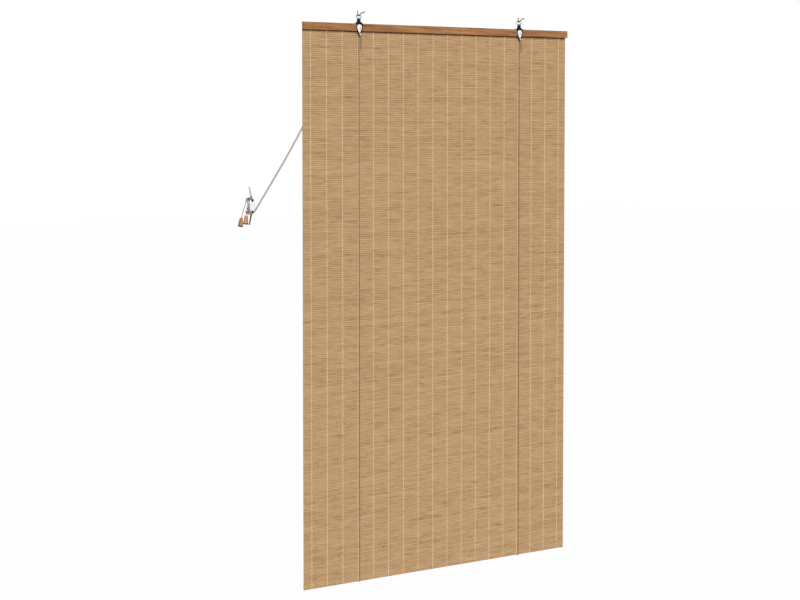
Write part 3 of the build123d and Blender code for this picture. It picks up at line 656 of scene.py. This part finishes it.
# Reed mat: the section is in shares of a reed's height and thickness
REED_SECTION = [
    (-0.36, 0.06), (-0.50, 0.30), (-0.46, 0.70), (-0.30, 0.97),
    (0.30, 0.97), (0.46, 0.70), (0.50, 0.30), (0.36, 0.06),
]
REED_RINGS = 20
END_RING = 0.0008
REED_HEIGHTS = (0.00546, 0.00562)
REED_THICKNESSES = (0.0023, 0.0027)
REED_SETBACKS = (0.00004, 0.00030)
REED_PHASES = (0, 6.28)
REED_WAVERS = (0.00002, 0.00007)
WAVER_RATE, SMALL_WAVER_RATE, SMALL_WAVER_SHARE = 9.0, 23.0, 0.5
GROW_SHARE, GROW_RATE = 0.012, 14.0
NODE_SWELL, BACK_SWELL = 0.00016, 0.00004
NODE_HALF = 0.0022
NODE_STARTS, NODE_STEPS, NODE_END = (0.03, 0.30), (0.24, 0.36), 0.02


def reed_rings():
    """The places of a reed's rings along X, with a 1 at each bamboo node."""
    places = [(-MAT_HALF + 2 * MAT_HALF * k / (REED_RINGS - 1), 0.0) for k in range(REED_RINGS)]
    places += [(END_RING - MAT_HALF, 0.0), (MAT_HALF - END_RING, 0.0)]
    x = -MAT_HALF + rng.uniform(*NODE_STARTS)
    while x < MAT_HALF - NODE_END:
        places += [(x - NODE_HALF, 0.0), (x, 1.0), (x + NODE_HALF, 0.0)]
        x += rng.uniform(*NODE_STEPS)
    return sorted(places)


def reed_mat():
    """Every reed of the mat as a flattened strip with its own size, waver and nodes."""
    verts, faces, facts = [], [], []
    for reed in range(REED_COUNT):
        middle = MAT_TOP - (reed + MIDDLE) * REED_PITCH
        height = rng.uniform(*REED_HEIGHTS)
        thick = rng.uniform(*REED_THICKNESSES)
        front = MAT_FRONT + rng.uniform(*REED_SETBACKS)
        phase = rng.uniform(*REED_PHASES)
        waver = rng.uniform(*REED_WAVERS)
        rings = reed_rings()
        base = len(verts)
        for x, knot in rings:
            shift = waver * math.sin(phase + x * WAVER_RATE)
            shift += SMALL_WAVER_SHARE * waver * math.sin(2 * phase + x * SMALL_WAVER_RATE)
            grow = 1 + GROW_SHARE * math.sin(phase * 3 + x * GROW_RATE)
            for z_share, y_share in REED_SECTION:
                swell = -NODE_SWELL if y_share < MIDDLE else BACK_SWELL
                y = front + thick * y_share + knot * swell
                verts.append((x, y, middle + shift + height * grow * z_share))
                facts.append((float(reed), z_share + MIDDLE, knot))
        skin(base, len(rings), len(REED_SECTION), faces, turned=True)
    piece = make_piece("reed_mat", verts, faces, REED)
    reed_facts = piece.data.attributes.new("reed", "FLOAT_VECTOR", "POINT")
    reed_facts.data.foreach_set("vector", np.ravel(facts))
    return piece


mat = settle(reed_mat(), "blind", "bamboo", "bamboo_mat")
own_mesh(mat)

# Warp threads: two strands a row that pass each reed on opposite sides and cross in the gaps
TWINE_RADIUS, TWINE_SIDES = 0.00076, 4
TWINE_SWING = 0.0008
TWINE_STEPS = 4
TWINE_INSET = 0.0008
TWINE_FRONT, TWINE_BACK = MAT_FRONT, MAT_BACK - TWINE_INSET
TWINE_FIRST_REED = 4
TWINE_SHARPNESS = 2.2
ROW_LEANS = (-0.0008, 0.0008)
DRIFT_RATE = 0.021
HALF_ROWS = THREAD_COUNT // 2


def twine_line(row, strand, lean):
    """The line of one of the two strands of a row."""
    x = (row - (THREAD_COUNT - 1) / 2) * THREAD_PITCH
    line = []
    for step in range(TWINE_FIRST_REED * TWINE_STEPS, REED_COUNT * TWINE_STEPS):
        part = step / TWINE_STEPS
        swing = math.sin(math.pi * part + math.pi * strand)
        sway = math.cos(math.pi * part + math.pi * strand)
        depth = math.tanh(TWINE_SHARPNESS * swing) / math.tanh(TWINE_SHARPNESS)
        y = (TWINE_FRONT + TWINE_BACK) / 2 - depth * (TWINE_BACK - TWINE_FRONT) / 2
        drift = lean * math.sin(part * DRIFT_RATE + row)
        line.append(np.array((x + drift + TWINE_SWING * sway, y, MAT_TOP - part * REED_PITCH)))
    return line


def twined_rows(first, last):
    """The points and faces of some rows of threads."""
    verts, faces = [], []
    for row in range(first, last):
        lean = rng.uniform(*ROW_LEANS)
        for strand in (0, 1):
            tube(twine_line(row, strand, lean), TWINE_RADIUS, TWINE_SIDES, verts, faces)
    return verts, faces


for name, first, last in (("left_twine", 0, HALF_ROWS), ("right_twine", HALF_ROWS, THREAD_COUNT)):
    twine = make_piece(name, *twined_rows(first, last), THREAD)
    settle(twine, "blind", "thread", "warp_threads")
    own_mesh(twine)

# Knots of the lift cords, tied in front of the tabs, with the cords' loose ends
KNOT_Y, KNOT_SIZE = -0.0074, 1.25
TAIL_ROUTE = [
    (0.0014, -0.0076, -0.0015), (0.0032, -0.0083, -0.0130), (0.0026, -0.0080, -0.0260),
    (0.0036, -0.0076, -0.0390),
]
for side, x in HANGERS:
    tied_knot(f"{side}_tied_knot", (x, KNOT_Y, TAB_Z), (0, 1, 0), f"{side}_lift_knot", KNOT_SIZE)
    tail_points = [(x + across, y, TAB_Z + rise) for across, y, rise in TAIL_ROUTE]
    tail_line = even_line(spline_points(tail_points, ROUTE_STEPS), ROPE_STEP)
    tail = make_piece(f"{side}_knot_tail", *rope(tail_line, lay=TIGHT_LAY), CORD)
    settle(tail, "blind", "cord")

# Screw threads on the hook arms and the cleat screws
RIDGE_RADIUS, RIDGE_SIDES = 0.00022, 4
TURN_POINTS = 14
SCREW_PITCH = 0.00125
HOOK_TURN = math.radians(25)
HOOK_TILT = math.radians(10)
ARM_AXIS = np.array((
    math.cos(HOOK_TURN) * math.cos(HOOK_TILT), math.sin(HOOK_TURN) * math.cos(HOOK_TILT),
    math.sin(HOOK_TILT),
))
ARM_OUT, ARM_Z, ARM_RADIUS = 0.015505, 0.0075, 0.0015
ARM_FROM, ARM_TO = 0.006, 0.0222
WALL_AXIS = np.array((0.0, 1.0, 0.0))
CLEAT_X, CLEAT_Z, CLEAT_HALF = -0.672, -0.532, 0.0155
SCREW_FROM, SCREW_TO, SCREW_RADIUS = 0.0264, 0.0319, 0.002


def winding(base, axis, low, high, radius):
    """A line that winds round an axis between two distances from its base."""
    across = np.cross(axis, (0.0, 0.0, 1.0))
    across = across / np.linalg.norm(across)
    up = np.cross(across, axis)
    count = int((high - low) / SCREW_PITCH * TURN_POINTS)
    line = []
    for step in range(count + 1):
        angle = 2 * math.pi * step / TURN_POINTS
        along = low + (high - low) * step / count
        line.append(base + axis * along + radius * around(angle, across, up))
    return line


for side, x in HANGERS:
    ridge_verts, ridge_faces = [], []
    arm_base = np.array((x + ARM_OUT * math.cos(HOOK_TURN), ARM_OUT * math.sin(HOOK_TURN), ARM_Z))
    arm_line = winding(arm_base, ARM_AXIS, ARM_FROM, ARM_TO, ARM_RADIUS)
    tube(arm_line, RIDGE_RADIUS, RIDGE_SIDES, ridge_verts, ridge_faces)
    ridge = make_piece(f"{side}_hook_thread", ridge_verts, ridge_faces, HOOK)
    settle(ridge, f"{side}_swivel", "nickel")
screw_verts, screw_faces = [], []
for height in (-CLEAT_HALF, CLEAT_HALF):
    screw_base = np.array((CLEAT_X, 0.0, CLEAT_Z + height))
    screw_line = winding(screw_base, WALL_AXIS, SCREW_FROM, SCREW_TO, SCREW_RADIUS)
    tube(screw_line, RIDGE_RADIUS, RIDGE_SIDES, screw_verts, screw_faces)
screw_threads = make_piece("cleat_screw_threads", screw_verts, screw_faces, DARK_SCREW)
settle(screw_threads, "blind", "dark_screw")

# Surfaces of the nodes that stay, by name or by the end of the name
SURFACES = {
    "headrail": RAIL, "headrail_staples": STEEL, "bottom_batten": BATTEN, "cord_cleat": CHROME,
    "cleat_screws": DARK_SCREW, "left_tassel": LEFT_TASSEL, "right_tassel": RIGHT_TASSEL,
}
ENDINGS = {
    "sheave": WHEEL, "strap": BLACK, "bush": BLACK, "guard": BLACK, "cover": COVER,
    "cover_screw": NICKEL, "eye": EYE, "hook": HOOK, "axle": STEEL,
}
for node in NODES:
    for ending, surface in ENDINGS.items():
        if node.endswith("_" + ending):
            SURFACES[node] = surface
for node, surface in SURFACES.items():
    mesh = NODES[node].data
    mesh.materials.clear()
    mesh.materials.append(surface)

# Floor and world: what is seen of them is white, and what lights the object is softer
FLOOR_HALF, FLOOR_Z = 30.0, -2.12
FLOOR_CORNERS = ((-1, -1), (1, -1), (1, 1), (-1, 1))
FLOOR_WHITE = 0.97
FLOOR_COLOUR = (0.95, 0.95, 0.95, 1)
SKY_STRENGTH = 0.42
WHITE = (1, 1, 1, 1)


def seen_ray(tree):
    """1 for camera, glossy and transmission rays."""
    path = add(tree, "ShaderNodeLightPath").outputs
    most = math_node(tree, "MAXIMUM", path["Is Camera Ray"], path["Is Glossy Ray"])
    return math_node(tree, "MAXIMUM", most, path["Is Transmission Ray"])


floor_points = [(x * FLOOR_HALF, y * FLOOR_HALF, FLOOR_Z) for x, y in FLOOR_CORNERS]
floor_mesh = bpy.data.meshes.new("floor")
floor_mesh.from_pydata(floor_points, [], [(0, 1, 2, 3)])
floor = bpy.data.objects.new("floor", floor_mesh)
bpy.context.scene.collection.objects.link(floor)
floor_look, floor_tree, floor_bsdf = start("floor")
set_sockets(floor_bsdf, {"Base Color": FLOOR_COLOUR, "Roughness": 0.9, "Specular IOR Level": 0.0})
glow = add(floor_tree, "ShaderNodeEmission", Color=WHITE, Strength=1.0)
share = math_node(floor_tree, "MULTIPLY", seen_ray(floor_tree), FLOOR_WHITE)
floor_mix = add(floor_tree, "ShaderNodeMixShader", Fac=share, i1=floor_bsdf.outputs[0], i2=glow.outputs[0])
floor_tree.links.new(floor_mix.outputs[0], floor_tree.nodes["Material Output"].inputs["Surface"])
floor_mesh.materials.append(floor_look)

world = bpy.data.worlds.new("studio")
bpy.context.scene.world = world
world.use_nodes = True
sky = world.node_tree
soft = sky.nodes["Background"]
set_sockets(soft, {"Color": WHITE, "Strength": SKY_STRENGTH})
white = add(sky, "ShaderNodeBackground", Color=WHITE, Strength=1.0)
sky_mix = add(sky, "ShaderNodeMixShader", Fac=seen_ray(sky), i1=soft.outputs[0], i2=white.outputs[0])
sky.links.new(sky_mix.outputs[0], sky.nodes["World Output"].inputs["Surface"])

# Light
KEY_ENERGY = 2.25
KEY_SPREAD = math.radians(14)
KEY_DIRECTION = (0.55, 1.0, -0.42)
key_data = bpy.data.lights.new("key", "SUN")
key_data.energy = KEY_ENERGY
key_data.angle = KEY_SPREAD
key = bpy.data.objects.new("key", key_data)
key.rotation_mode = "QUATERNION"
key.rotation_quaternion = Vector(KEY_DIRECTION).to_track_quat("-Z", "Y")
bpy.context.scene.collection.objects.link(key)

bpy.context.scene.view_settings.view_transform = "Standard"
